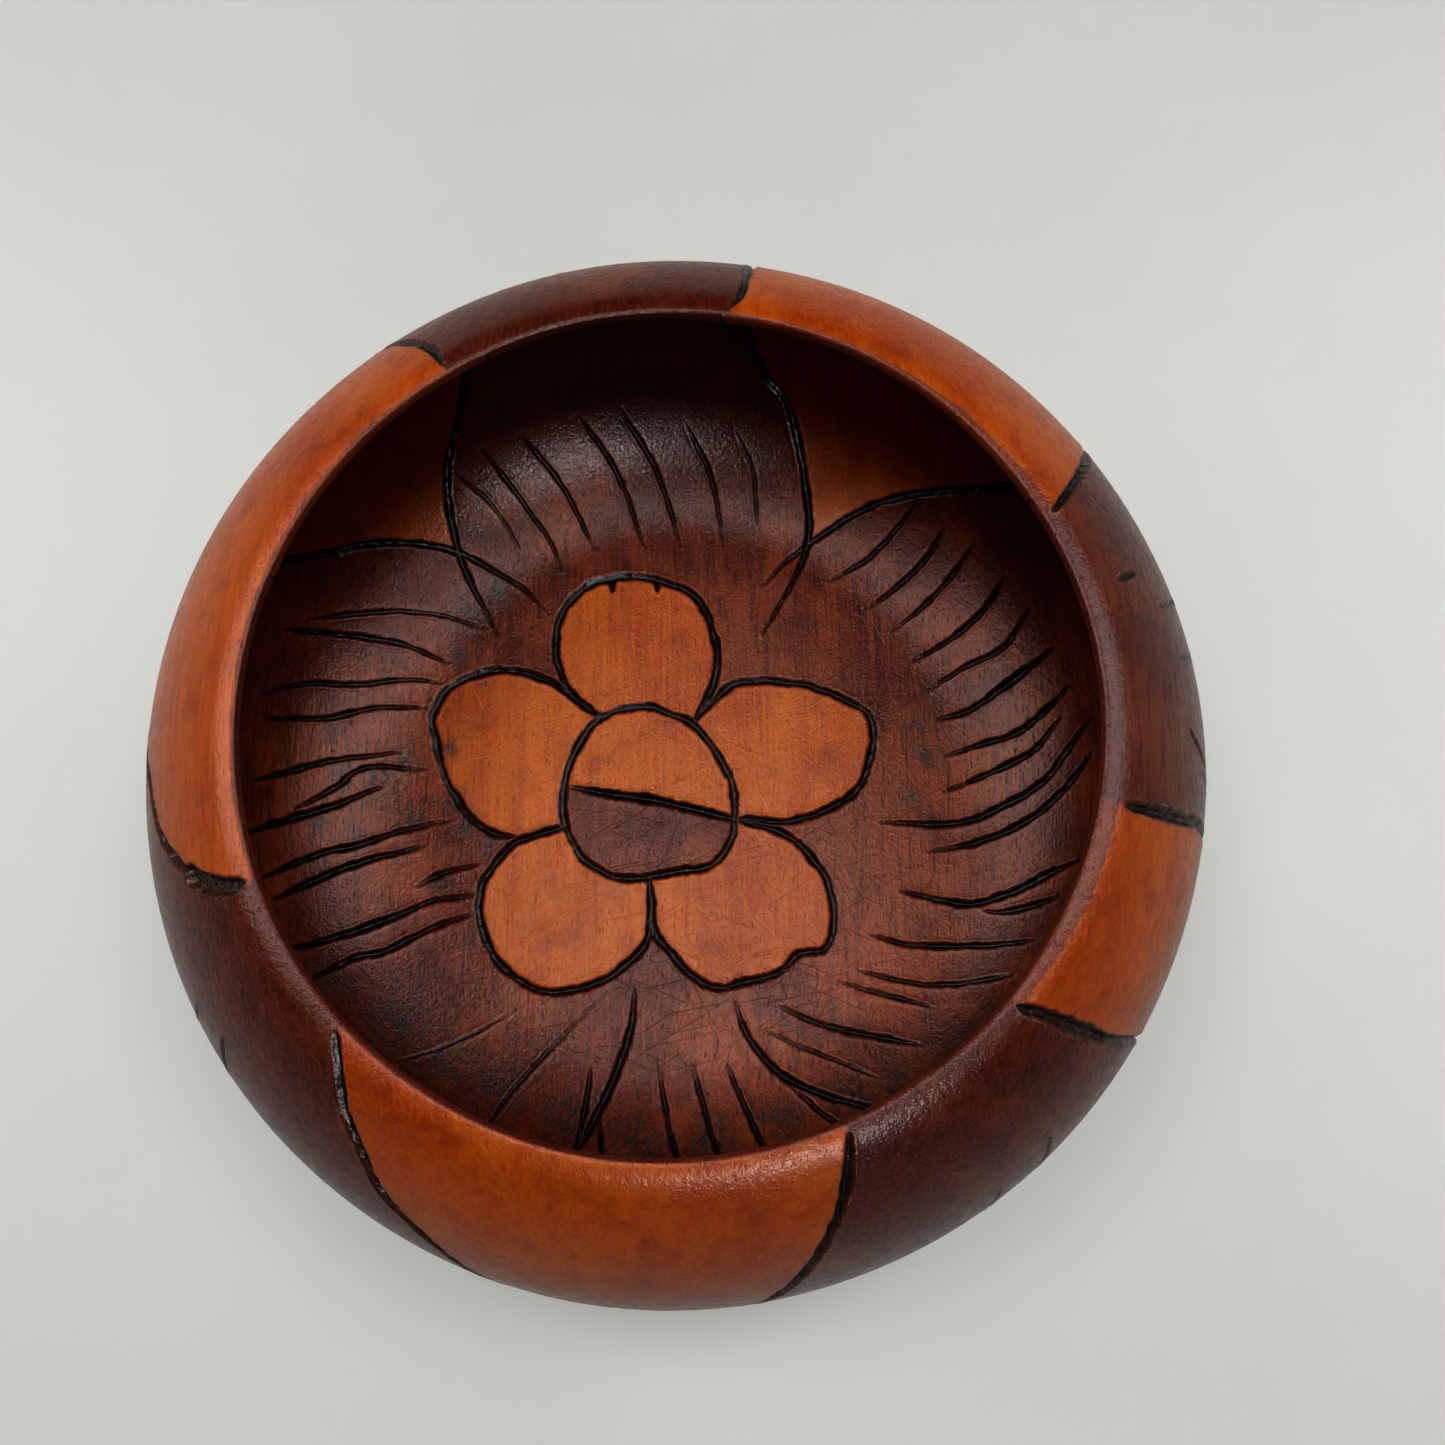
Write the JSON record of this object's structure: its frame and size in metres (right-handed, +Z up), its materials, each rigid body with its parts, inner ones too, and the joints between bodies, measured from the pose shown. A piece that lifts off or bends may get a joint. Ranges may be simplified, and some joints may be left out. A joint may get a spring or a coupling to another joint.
{
  "type": "carved wooden bowl",
  "caption": "Round wooden bowl with a closed-in shoulder, a flower carved in the floor and V-cut leaf panels stained light and dark.",
  "frame": {"origin": "centre of the flat resting face, on the turning axis", "axes": "+Z up along the turning axis through the mouth; the viewer stands on -Y; X to the viewer's right; the wood grain runs along Y"},
  "size_m": [0.2, 0.2, 0.09],
  "materials": {
    "wood": "semi-gloss lacquered reddish wood, orange-brown and dark stained panels"
  },
  "bodies": {
    "root": {"bowl": "wood"}
  },
  "joints": []
}
